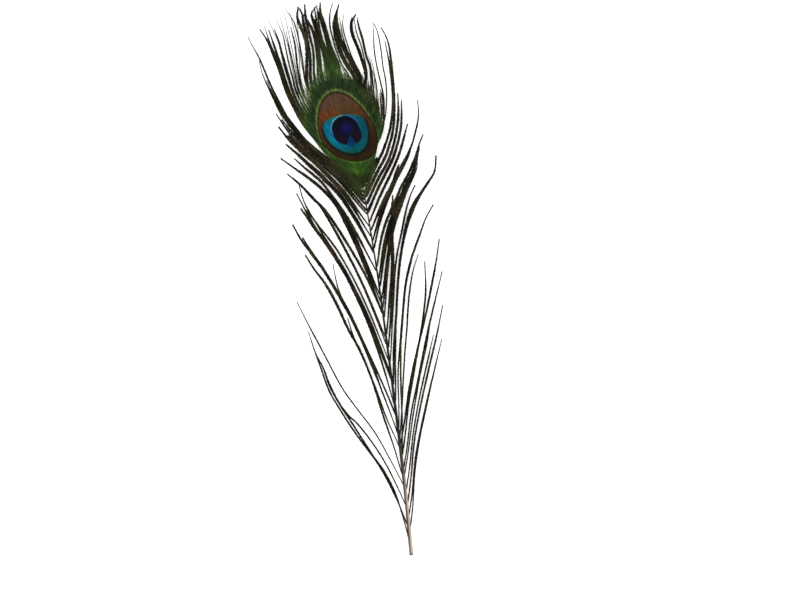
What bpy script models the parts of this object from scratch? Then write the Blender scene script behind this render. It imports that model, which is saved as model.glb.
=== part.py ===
"""A peacock's eye feather, lying on its flat underside with the coloured face up.

+Y runs from the cut end of the shaft to the tips, +X is to the right of the eye and +Z is up.
Lengths in the tables are millimetres in the feather's own frame, which starts at the cut end.
Angles are degrees from +Y, and positive ones lean away from the shaft.
"""

import math

import bmesh
import bpy
from mathutils import Vector

MM = 0.001
COLLECTION = "peacock_feather"

# The shaft's middle line, from its cut end to its fine end in the notch of the eye.
SHAFT_ROUTE = [(0.2, 0), (2.0, 30), (3.6, 72), (4.6, 112), (5.3, 150), (5.1, 185), (4.2, 210), (2.4, 227)]
SHAFT_BUTT_WIDTH = 2.2
SHAFT_END_WIDTH = 0.5
SHAFT_HEIGHT_RATIO = 0.8     # height of the section over its width
SHAFT_FLAT_RATIO = 0.62      # width of the flat underside over the whole width
SHAFT_STATIONS = 30

# The head of the feather rises off the surface on its barbs.
HEAD_RISE = 2.9
HEAD_RISE_FROM = 150
HEAD_RISE_TO = 227
CROWN_FALL = 0.8
CROWN_FALL_FROM = 235
CROWN_FALL_TO = 275
VANE_FALL = 1.6              # how far the vane's sides lie below its middle line
VANE_FALL_AT = 24

# The closed vane round the eye, from the shaft's left side over the top to its right side.
VANE_OUTLINE = [
    (2.4, 198), (-2.5, 208.5), (-8, 217), (-13, 222.8), (-18, 229), (-22.3, 236), (-25, 242.5),
    (-25.8, 248.5), (-22, 253), (-18.3, 256.5), (-15, 261.5), (-9, 264.5), (-2, 265.2), (4, 263.5),
    (10, 260.5), (15.5, 259), (19.8, 255.5), (21.8, 248), (21.6, 238), (19.8, 228.5),
    (16.8, 219.5), (12.2, 211.5), (7.4, 198),
]
VANE_FOOT = 200              # where the vane starts on the shaft
VANE_THICKNESS = 0.8
VANE_RIBS = 36
VANE_RINGS = 5
VANE_TIP_SHARE = 0.3         # share of the ribs that start round the shaft's end

# The locks of barbs. A lock's section is a flat six-sided one, scaled along its length.
LOCK_HALF_WIDTH = 1.0
LOCK_HALF_THICKNESS = 0.42
LOCK_STATIONS = 11
LOCK_ROOT_SCALE = 0.4        # the section's scale at the root, and how fast it fills out
LOCK_FILLING = 2.4
LOCK_TIP_SCALE = 0.3         # the section's scale at the tip, and how fast it thins out
LOCK_THINNING = 2.0
LOCK_TIP_HEIGHT = 0.3        # the middle of the tip over the surface
LOCK_HANDLE = 0.38           # length of a curve's handles over the straight distance
JOINT_GAP = 0.35             # clearance between a lock's root and what it grows from

# Root on the shaft, tip x and y, angle at the root and at the tip, lift of the middle, width.
LEFT_LOCKS = [
    (6, -36.0, 127.0, 3, 8, 1.5, 0.9),
    (34, -39.5, 144.0, 20, 16, 2.5, 0.6),
    (52, -31.5, 168.0, 7, 28, 2.0, 1.0),
    (78, -35.5, 185.0, 10, 27, 2.4, 1.2),
    (88, -17.5, 161.0, 10, 2, 1.2, 0.7),
    (98, -30.0, 193.0, 13, 37, 1.2, 1.0),
    (107, -29.0, 206.0, 9, 4, 3.4, 1.0),
    (117, -17.5, 187.0, 10, 22, 1.6, 0.9),
    (127, -34.0, 212.5, 13, 40, 2.6, 1.0),
    (144, -36.5, 221.0, 24, 47, 2.0, 0.8),
    (154, -29.0, 220.0, 31, 42, 1.0, 0.7),
    (163, -32.5, 228.0, 36, 46, 1.6, 0.7),
    (171, -35.0, 238.0, 36, 34, 3.0, 0.8),
    (179, -35.3, 245.0, 39, 28, 2.0, 0.8),
    (187, -36.7, 258.0, 42, 6, 3.0, 0.9),
    (195, -43.0, 288.0, 46, 14, 1.2, 1.2),
]
RIGHT_LOCKS = [
    (8, 34.0, 112.0, 6, 22, 1.6, 0.9),
    (24, 37.5, 130.0, 9, 24, 2.3, 0.8),
    (42, 40.0, 148.0, 10, 24, 1.7, 0.9),
    (57, 41.0, 165.0, 11, 24, 2.5, 1.0),
    (70, 41.0, 184.0, 13, 36, 1.9, 1.1),
    (84, 45.0, 207.0, 9, 32, 2.6, 1.1),
    (98, 21.0, 181.0, 10, 8, 1.4, 1.2),
    (126, 33.0, 203.0, 18, 42, 0.8, 0.9),
    (142, 37.8, 214.0, 22, 32, 3.4, 0.9),
    (157, 40.5, 222.5, 28, 36, 1.2, 0.9),
    (170, 41.0, 240.0, 38, 8, 2.6, 1.0),
    (177, 25.5, 207.5, 41, 36, 1.0, 0.9),
    (183, 33.5, 229.0, 42, 26, 0.9, 0.9),
    (187, 32.5, 242.0, 44, 4, 2.8, 0.9),
    (191, 30.4, 246.0, 45, 2, 0.9, 0.9),
    (195, 27.5, 283.0, 46, -14, 2.8, 1.2),
]
# Share of the way round the vane's outline, tip x and y, angles from +Y to the right, lift, width.
CROWN_LOCKS = [
    (0.325, -34.5, 292.0, -20, -14, 2.0, 1.4),
    (0.350, -29.0, 290.0, -12, -6, 1.4, 1.0),
    (0.372, -26.0, 293.0, -10, -6, 2.4, 0.7),
    (0.395, -22.8, 290.0, -8, 0, 1.4, 0.7),
    (0.418, -20.0, 290.0, -6, 0, 2.4, 0.8),
    (0.447, -21.5, 300.0, -6, -24, 1.6, 0.6),
    (0.468, -15.2, 300.3, 4, -6, 2.4, 1.2),
    (0.500, -11.3, 301.0, -4, 0, 1.6, 1.2),
    (0.530, -6.0, 298.5, -4, 6, 2.6, 1.2),
    (0.568, -2.8, 300.8, -14, -2, 1.6, 1.3),
    (0.622, 6.0, 298.0, -28, 18, 2.4, 1.6),
    (0.676, 14.3, 291.8, -10, 22, 1.6, 1.4),
    (0.715, 16.3, 289.0, -4, -6, 2.4, 1.0),
    (0.795, 23.5, 286.0, 8, 6, 1.6, 0.6),
    (0.830, 25.5, 280.0, 18, -4, 2.2, 0.6),
]

# name: colour, roughness
MATERIALS = {
    "shaft_keratin": ((0.42, 0.28, 0.18), 0.45),
    "eye_barbs": ((0.05, 0.13, 0.04), 0.5),
    "loose_barbs": ((0.035, 0.03, 0.02), 0.6),
    "crown_barbs": ((0.04, 0.06, 0.02), 0.55),
}


def clear_scene():
    for old in list(bpy.data.objects):
        bpy.data.objects.remove(old, do_unlink=True)


def new_collection(name):
    collection = bpy.data.collections.new(name)
    bpy.context.scene.collection.children.link(collection)
    return collection


def new_material(name):
    colour, roughness = MATERIALS[name]
    material = bpy.data.materials.new(name)
    material.use_nodes = True
    shader = material.node_tree.nodes["Principled BSDF"]
    shader.inputs["Base Color"].default_value = (*colour, 1)
    shader.inputs["Roughness"].default_value = roughness
    shader.inputs["Metallic"].default_value = 0
    return material


def add_piece(piece, parent):
    piece.parent = parent
    parent.users_collection[0].objects.link(piece)


def smoothstep(low, high, value):
    share = min(max((value - low) / (high - low), 0), 1)
    return share * share * (3 - 2 * share)


def through(points, share):
    """The place at a share of the way along a smooth curve through the points."""
    spans = len(points) - 1
    at = min(max(share, 0), 1) * spans
    k = min(int(at), spans - 1)
    t = at - k
    here, there = Vector(points[k]), Vector(points[k + 1])
    before = Vector(points[k - 1]) if k else 2 * here - there
    after = Vector(points[k + 2]) if k + 2 <= spans else 2 * there - here
    way_out, way_in = (there - before) / 2, (after - here) / 2
    return (
        (2 * t**3 - 3 * t**2 + 1) * here
        + (t**3 - 2 * t**2 + t) * way_out
        + (3 * t**2 - 2 * t**3) * there
        + (t**3 - t**2) * way_in
    )


def shaft_at(y):
    """Where the shaft's middle line is at this distance along the feather, as its x."""
    low, high = 0.0, 1.0
    for _ in range(30):
        middle = (low + high) / 2
        if through(SHAFT_ROUTE, middle).y < y:
            low = middle
        else:
            high = middle
    return through(SHAFT_ROUTE, low).x


def shaft_width(y):
    share = min(y / SHAFT_ROUTE[-1][1], 1)
    return SHAFT_BUTT_WIDTH + (SHAFT_END_WIDTH - SHAFT_BUTT_WIDTH) * share**0.85


def rise(y):
    """How far the feather's underside is off the surface along its middle line."""
    head = HEAD_RISE * smoothstep(HEAD_RISE_FROM, HEAD_RISE_TO, y)
    return head - CROWN_FALL * smoothstep(CROWN_FALL_FROM, CROWN_FALL_TO, y)


def shaft_middle(y):
    return rise(y) + shaft_width(y) * SHAFT_HEIGHT_RATIO / 2


def vane_height(x, y):
    aside = (x - shaft_at(y)) / VANE_FALL_AT
    return shaft_middle(y) - VANE_FALL * aside * aside


def heading(degrees):
    """The direction this many degrees to the right of +Y, seen from above."""
    return Vector((math.sin(math.radians(degrees)), math.cos(math.radians(degrees))))


def bezier(plan, t):
    """The place at t, from 0 to 1, on the curve of a plan: start, its heading, end, its heading."""
    start, leave, end, arrive = plan
    handle = LOCK_HANDLE * (end - start).length
    first = start + handle * heading(leave)
    last = end - handle * heading(arrive)
    return (1 - t) ** 3 * start + 3 * t * (1 - t) ** 2 * first + 3 * t**2 * (1 - t) * last + t**3 * end


def profile_curve(name, points, guides):
    """A closed outline that other curves are swept with; it is a guide and not a piece."""
    data = bpy.data.curves.new(name, "CURVE")
    data.dimensions = "2D"
    spline = data.splines.new("POLY")
    spline.points.add(len(points) - 1)
    for point, (x, y) in zip(spline.points, points):
        point.co = (x * MM, y * MM, 0, 1)
    spline.use_cyclic_u = True
    guide = bpy.data.objects.new(name, data)
    guide.hide_render = True
    guide.display_type = "WIRE"
    guides.objects.link(guide)
    return guide


def swept(name, places, scales, profile, material, parent):
    """A profile swept along the places, which are millimetres, and scaled at each."""
    data = bpy.data.curves.new(name, "CURVE")
    data.dimensions = "3D"
    data.twist_mode = "Z_UP"
    data.bevel_mode = "OBJECT"
    data.bevel_object = profile
    data.use_fill_caps = True
    spline = data.splines.new("POLY")
    spline.points.add(len(places) - 1)
    for point, place, scale in zip(spline.points, places, scales):
        point.co = (*(Vector(place) * MM), 1)
        point.radius = scale
    data.materials.append(material)
    add_piece(bpy.data.objects.new(name, data), parent)


def make_shaft(guides, parent):
    """The shaft: a rounded back over a flat underside, thinning to the notch of the eye."""
    top = SHAFT_HEIGHT_RATIO
    half = [(0.4, top), (0.85, 0.5 * top), (1, -0.25 * top), (SHAFT_FLAT_RATIO, -top)]
    outline = half + [(-x, y) for x, y in reversed(half)]
    profile = profile_curve("shaft_section", outline, guides)
    end = SHAFT_ROUTE[-1][1]
    places, scales = [], []
    for k in range(SHAFT_STATIONS + 1):
        y = end * k / SHAFT_STATIONS
        places.append((shaft_at(y), y, shaft_middle(y)))
        scales.append(shaft_width(y) / 2)
    swept("shaft", places, scales, profile, new_material("shaft_keratin"), parent)


def vane_inner(share):
    """The slot in the vane that the shaft lies in: up its left side, round its end and down."""
    side = (1 - VANE_TIP_SHARE) / 2
    end = SHAFT_ROUTE[-1][1]
    clear = shaft_width(end) / 2 + JOINT_GAP
    if side <= share <= 1 - side:
        turn = math.pi * (share - side) / VANE_TIP_SHARE
        return Vector((shaft_at(end) - clear * math.cos(turn), end + clear * math.sin(turn)))
    along = min(share, 1 - share) / side
    y = VANE_FOOT + (end - VANE_FOOT) * along
    away = shaft_width(y) / 2 + JOINT_GAP
    return Vector((shaft_at(y) + math.copysign(away, share - 0.5), y))


def make_vane(parent):
    """The closed vane: ribs from the slot to the outline, domed and given its thickness."""
    mesh = bpy.data.meshes.new("eye_vane")
    shape = bmesh.new()
    bmesh.ops.create_grid(shape, x_segments=VANE_RIBS, y_segments=VANE_RINGS, size=0.5)
    for vertex in shape.verts:
        around, out = vertex.co.x + 0.5, vertex.co.y + 0.5
        place = vane_inner(around).lerp(through(VANE_OUTLINE, around), out)
        vertex.co = (place.x * MM, place.y * MM, vane_height(place.x, place.y) * MM)
    bmesh.ops.recalc_face_normals(shape, faces=shape.faces)
    shape.to_mesh(mesh)
    shape.free()
    mesh.materials.append(new_material("eye_barbs"))
    vane = bpy.data.objects.new("eye_vane", mesh)
    shell = vane.modifiers.new("thickness", "SOLIDIFY")
    shell.thickness = VANE_THICKNESS * MM
    shell.offset = 0
    shell.use_even_offset = False
    add_piece(vane, parent)


def make_lock(name, plan, root_height, lift, width, profile, material, parent):
    """One lock of clinging barbs, fullest in the middle, that comes down to the surface at its tip."""
    places, scales = [], []
    for k in range(LOCK_STATIONS):
        t = k / (LOCK_STATIONS - 1)
        place = bezier(plan, t)
        height = (1 - t) * root_height + t * LOCK_TIP_HEIGHT + 4 * lift * t * (1 - t)
        places.append((place.x, place.y, height))
        full = min(1, LOCK_ROOT_SCALE + LOCK_FILLING * t)
        thin = min(1, LOCK_TIP_SCALE + LOCK_THINNING * (1 - t))
        scales.append(width * full * thin)
    swept(name, places, scales, profile, material, parent)


def root_clearance(width):
    """How far the middle of a lock's root is from what it grows from."""
    return JOINT_GAP + LOCK_HALF_WIDTH * LOCK_ROOT_SCALE * width


def make_side_locks(side, table, profile, material, parent):
    """The locks of one side, from the cut end up. side is -1 on the left and 1 on the right."""
    word = "left" if side < 0 else "right"
    for number, (root, x, y, leave, arrive, lift, width) in enumerate(table, 1):
        away = shaft_width(root) / 2 + root_clearance(width)
        start = Vector((shaft_at(root) + side * away, root))
        plan = (start, side * leave, Vector((x, y)), side * arrive)
        name = f"{word}_barbs_{number:02d}"
        make_lock(name, plan, shaft_middle(root), lift, width, profile, material, parent)


def make_crown_locks(table, profile, material, parent):
    """The locks that stand out past the top of the closed vane."""
    fan_centre = Vector(SHAFT_ROUTE[-1])
    for number, (around, x, y, leave, arrive, lift, width) in enumerate(table, 1):
        edge = through(VANE_OUTLINE, around)
        start = edge + (edge - fan_centre).normalized() * root_clearance(width)
        plan = (start, leave, Vector((x, y)), arrive)
        height = vane_height(start.x, start.y)
        name = f"crown_barbs_{number:02d}"
        make_lock(name, plan, height, lift, width, profile, material, parent)


def centre_on_floor(collection, parent):
    """Moves the parent so that the whole feather's box is centred on the origin, standing on z = 0."""
    bpy.context.view_layer.update()
    graph = bpy.context.evaluated_depsgraph_get()
    corners = []
    for piece in collection.objects:
        if piece.type == "EMPTY":
            continue
        seen = piece.evaluated_get(graph)
        mesh = seen.to_mesh()
        corners += [seen.matrix_world @ vertex.co for vertex in mesh.vertices]
        seen.to_mesh_clear()
    low = Vector(min(c[k] for c in corners) for k in range(3))
    high = Vector(max(c[k] for c in corners) for k in range(3))
    middle = (low + high) / 2
    parent.location = (-middle.x, -middle.y, -low.z)
    bpy.context.view_layer.update()


def main():
    clear_scene()
    collection = new_collection(COLLECTION)
    guides = new_collection("guides")
    parent = bpy.data.objects.new("feather_frame", None)
    collection.objects.link(parent)

    make_shaft(guides, parent)
    make_vane(parent)

    wide, thick = LOCK_HALF_WIDTH, LOCK_HALF_THICKNESS
    flat_section = [
        (wide, 0), (0.5 * wide, -thick), (-0.5 * wide, -thick),
        (-wide, 0), (-0.5 * wide, thick), (0.5 * wide, thick),
    ]
    profile = profile_curve("lock_section", flat_section, guides)
    loose = new_material("loose_barbs")
    make_side_locks(-1, LEFT_LOCKS, profile, loose, parent)
    make_side_locks(1, RIGHT_LOCKS, profile, loose, parent)
    make_crown_locks(CROWN_LOCKS, profile, new_material("crown_barbs"), parent)
    centre_on_floor(collection, parent)


main()
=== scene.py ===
"""The looks of the peacock feather: every barb with its barbules, the eye's colours and the horny shaft.

Lengths are millimetres in the feather's own frame: it starts at the shaft's cut end, +Y runs to the tips,
+X is to the right and +Z is up. Headings are degrees from +Y to the right. Pieces are moved into the frame's
metres when their meshes are made.
"""

import math

import bpy
import numpy as np
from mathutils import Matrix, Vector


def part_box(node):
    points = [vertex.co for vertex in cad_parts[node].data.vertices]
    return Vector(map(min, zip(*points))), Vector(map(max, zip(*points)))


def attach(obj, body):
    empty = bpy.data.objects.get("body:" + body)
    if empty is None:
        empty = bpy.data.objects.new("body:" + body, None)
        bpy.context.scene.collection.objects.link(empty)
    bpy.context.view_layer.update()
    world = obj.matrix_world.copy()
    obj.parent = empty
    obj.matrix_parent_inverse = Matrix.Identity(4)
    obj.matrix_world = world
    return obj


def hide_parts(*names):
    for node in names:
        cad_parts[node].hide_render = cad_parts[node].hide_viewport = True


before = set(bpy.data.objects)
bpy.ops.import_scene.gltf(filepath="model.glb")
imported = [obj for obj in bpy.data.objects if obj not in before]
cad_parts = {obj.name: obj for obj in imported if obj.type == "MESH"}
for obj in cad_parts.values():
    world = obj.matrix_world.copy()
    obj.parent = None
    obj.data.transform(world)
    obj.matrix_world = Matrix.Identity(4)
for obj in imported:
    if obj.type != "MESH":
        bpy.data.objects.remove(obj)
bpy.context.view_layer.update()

MM = 0.001
BODY = "root"
SEED = 11

# -------- the feather's plan, as in the frame

SHAFT_ROUTE = [(0.2, 0), (2.0, 30), (3.6, 72), (4.6, 112), (5.3, 150), (5.1, 185), (4.2, 210), (2.4, 227)]
SHAFT_BUTT_WIDTH = 2.2
SHAFT_END_WIDTH = 0.5
SHAFT_HEIGHT_RATIO = 0.8
SHAFT_END = SHAFT_ROUTE[-1][1]

HEAD_RISE = 2.9
HEAD_RISE_FROM = 150
HEAD_RISE_TO = 227
CROWN_FALL = 0.8
CROWN_FALL_FROM = 235
CROWN_FALL_TO = 275
VANE_FALL = 1.6
VANE_FALL_AT = 24

VANE_OUTLINE = [
    (2.4, 198), (-2.5, 208.5), (-7.4, 217.2), (-12.3, 223.1), (-17.7, 229.2), (-21.6, 236), (-24, 242.5),
    (-25.2, 248.5), (-22, 253), (-18.3, 256.5), (-15, 261.5), (-9, 264.5), (-2, 265.2), (4, 263.5),
    (10, 260.5), (14.5, 257.5), (17.8, 253), (19.8, 246.5), (20.2, 238), (19, 228.5),
    (16.8, 219.5), (12.2, 211.5), (7.4, 198),
]
VANE_FOOT = 200
VANE_TIP_SHARE = 0.3
HANDLE = 0.38
SLOT_OVERLAP = 0.2
SHAFT_DIP = 0.45
SHAFT_DIP_FROM = 194
SHAFT_DIP_TO = 206

# Each row is a strand: its width and the places that it passes on its way to the tip. Two widths are those
# at its root and its tip. Where it holds more than one barb, their number and how far apart they lie come
# last. Strands are grouped by the lock they belong to, from the cut end up.
LEFT_LOCKS = [
    [((0.9, 0.55), [(-1, 20), (-3.5, 35), (-8, 48), (-13.5, 58), (-20, 70.5), (-26, 84), (-30, 94.5),
        (-32.5, 107), (-34.5, 117), (-36, 127)]),
     ((0.85, 0.6), [(-2.5, 29), (-7, 44), (-12, 56), (-20, 74.5), (-25, 85.5), (-29, 96), (-31, 106),
        (-34, 115), (-35.5, 123)]),
     (0.65, [(-1.5, 37), (-6, 51), (-12, 64.5), (-18, 75), (-22, 80), (-26.5, 89), (-29.5, 99),
        (-31.5, 109)])],
    [(0.55, [(-3, 52), (-9, 68), (-17, 83), (-23, 95), (-30, 115), (-35.5, 131), (-39.5, 144)])],
    [((0.75, 1.1), [(-0.5, 61), (-3.2, 76), (-6, 95.5), (-10, 112), (-15, 125.5), (-18.5, 138), (-23, 150.5),
        (-28, 160), (-31.5, 168)]),
     (0.6, [(1, 65), (-1.8, 75), (-4.8, 91), (-8.5, 106), (-12, 118.5), (-14, 131)])],
    [((0.65, 1.2), [(1, 76), (-2, 90), (-5, 106), (-9.5, 123), (-14, 136), (-18.5, 148), (-24, 161),
        (-29, 170), (-33, 178), (-35.5, 185)]),
     ((0.6, 1.1), [(0.7, 86.5), (-3.3, 102), (-7.8, 117.5), (-13, 134), (-17.9, 147), (-23.3, 160),
        (-27.8, 169.5), (-31, 177.5)]),
     (0.6, [(-0.8, 85), (-4.3, 100), (-6.6, 110), (-9, 119.5), (-14, 136), (-19.2, 150), (-24.8, 163.5),
        (-29.5, 173.5)])],
    [(0.5, [(0.9, 87), (-3, 101.5), (-7.5, 117), (-12.5, 134), (-15.9, 144), (-17, 152), (-17.3, 161)])],
    [((0.85, 1.35), [(1.5, 97), (-1.2, 115), (-4.4, 130), (-7.9, 143), (-11.7, 155), (-16, 166),
        (-20.5, 175), (-24.5, 182), (-27.5, 188), (-30, 193)]),
     ((0.75, 1.1), [(2.2, 103), (-0.4, 115), (-4, 130.5), (-7.4, 143.5), (-11.2, 155.5), (-16, 167),
        (-19.8, 176), (-22.5, 183)])],
    [(0.7, [(1.8, 116), (-1.7, 131), (-5.3, 144), (-9.1, 155.5), (-13.6, 167), (-18, 175.5), (-22.2, 182.5),
        (-25.7, 190), (-28, 198), (-28.9, 206)]),
     ((1, 0.8), [(1.4, 109), (-2.3, 125), (-5.8, 138), (-9.8, 150), (-14.8, 162), (-19.3, 172), (-23.5, 181),
        (-26.8, 189.5), (-29.3, 197), (-30.8, 201.5)]),
     (0.9, [(1.2, 112), (-2, 126), (-6, 140), (-10.5, 152.5), (-15.5, 164), (-20.5, 174.5), (-24.5, 183.5),
        (-27, 192)])],
    [(0.95, [(1.5, 127.5), (-1.5, 141), (-5, 153.5), (-8.8, 165), (-13, 177), (-16.2, 185.5),
        (-18.5, 191)])],
    [(1, [(2, 141), (-1, 152), (-5, 163), (-9.5, 174), (-14, 184), (-18, 191.5), (-22.5, 197.3),
        (-27.5, 204.8), (-34, 212.7)]),
     (0.8, [(1.6, 129.5), (-1.5, 141.5), (-5, 154), (-9, 166), (-13.5, 178), (-18.5, 191), (-23.2, 199),
        (-28.4, 206.4), (-31.5, 210)])],
    [(1.05, [(2, 145), (-0.8, 157.5), (-3.7, 169), (-6.9, 179.5), (-10, 189.5), (-13.5, 196.5), (-19, 204),
        (-25, 210.3), (-31, 216), (-36.5, 221.3)]),
     (1, [(1.9, 153), (-0.8, 163.5), (-3.2, 173.5), (-6.2, 183), (-9.7, 191), (-13.7, 197), (-19.6, 205),
        (-25.6, 211.7)]),
     (0.8, [(2, 149), (-0.7, 160), (-3.4, 171), (-6.3, 181), (-9, 188.5)])],
    [(1, [(2, 162.5), (-1.4, 172.5), (-5.4, 183), (-9.3, 191.5), (-12.7, 198), (-16.6, 205.3), (-20.5, 210),
        (-25, 215), (-29.3, 220.3)])],
    [(1.25, [(2, 172), (-0.8, 180), (-4.2, 188.5), (-7.8, 196), (-11.4, 202), (-14.6, 206), (-17.3, 210),
        (-20.7, 214), (-24, 218.2), (-27.2, 222.2), (-32.6, 228.3)]),
     (1, [(2.1, 173.5), (-0.7, 181.6), (-4.2, 189.7), (-7.1, 196.2), (-10.6, 202), (-13.8, 206),
        (-16.5, 210), (-19.8, 214), (-23, 218), (-25.6, 221.3)])],
    [(1.2, [(1.4, 181), (-1.6, 188.3), (-4.8, 195), (-8.2, 201.5), (-11.6, 206), (-14.4, 210), (-17.2, 214),
        (-20.3, 218), (-23.8, 222), (-28.4, 228), (-31.6, 232.5), (-35, 238.3)]),
     (1.15, [(1.7, 184.5), (-1.4, 190.8), (-4.6, 197.2), (-7.2, 201.5), (-10.6, 206), (-13.4, 210),
        (-16.3, 214), (-19.4, 218), (-22.8, 222), (-27.3, 228), (-30.4, 233)])],
    [((1.15, 0.85), [(3, 187.5), (0.9, 190.9), (-1.9, 195.7), (-5, 201.4), (-8, 206), (-11.3, 210.2),
        (-14.3, 214), (-17.7, 218), (-21.5, 222), (-26.2, 228), (-30.6, 236), (-35.2, 245.3)]),
     ((1.1, 0.85), [(3.4, 189), (1.6, 192.2), (-0.7, 196), (-3.7, 201.4), (-6.8, 206.1), (-10, 210.2),
        (-12.9, 214), (-16.1, 218), (-19.9, 222), (-24.8, 228.2), (-29.3, 236), (-32.6, 242)])],
    [((1.05, 0.85), [(3.5, 192), (1.4, 195.3), (-1.6, 200.3), (-5.3, 206.3), (-8.6, 210.2), (-11.7, 214.1),
        (-14.8, 218), (-18.4, 222), (-23.7, 229), (-28.8, 238), (-33, 246.5), (-36.8, 258)]),
     ((1.05, 0.5), [(3.6, 194), (1.2, 197.6), (-1.9, 202.6), (-5.1, 208), (-8.3, 211.8), (-11.7, 215.7),
        (-14.9, 219.5), (-18.4, 223.6), (-23.2, 230), (-29.2, 240.2), (-34, 251), (-37.1, 260), (-38.5, 265),
        (-39.6, 270), (-39.9, 275)]),
     ((0.95, 0.8), [(3.5, 196), (1.2, 199.4), (-2.5, 205.2), (-6, 210), (-9.4, 213.8), (-12.8, 217.6),
        (-16.2, 221.5), (-20.8, 227.5), (-25.4, 235), (-29.8, 243), (-33.6, 251)])],
    [((1.2, 0.55), [(3.3, 200.4), (0, 205.2), (-4.6, 210.1), (-10.6, 216.6), (-15.9, 222.3), (-21, 228.3),
        (-25.2, 234.3), (-28.6, 240.3), (-31, 246.5), (-32.8, 252), (-34.2, 256), (-35.4, 260), (-36.5, 264),
        (-37.5, 268), (-38.4, 272), (-39.4, 276), (-40.8, 280), (-42.3, 284), (-43.7, 288.8)]),
     ((1.2, 0.45), [(3.5, 198), (0.9, 201.8), (-3, 207.4), (-6.6, 211.6), (-10.2, 215.4), (-13.7, 219.3),
        (-17.8, 224), (-23, 231), (-28, 239.5), (-31.6, 247), (-34.4, 254), (-36.2, 259), (-37.6, 264)]),
     (1, [(3, 203), (-0.6, 207.3), (-4.5, 211.7), (-8.2, 215.9)], 3, 1.8)],
]
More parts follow.
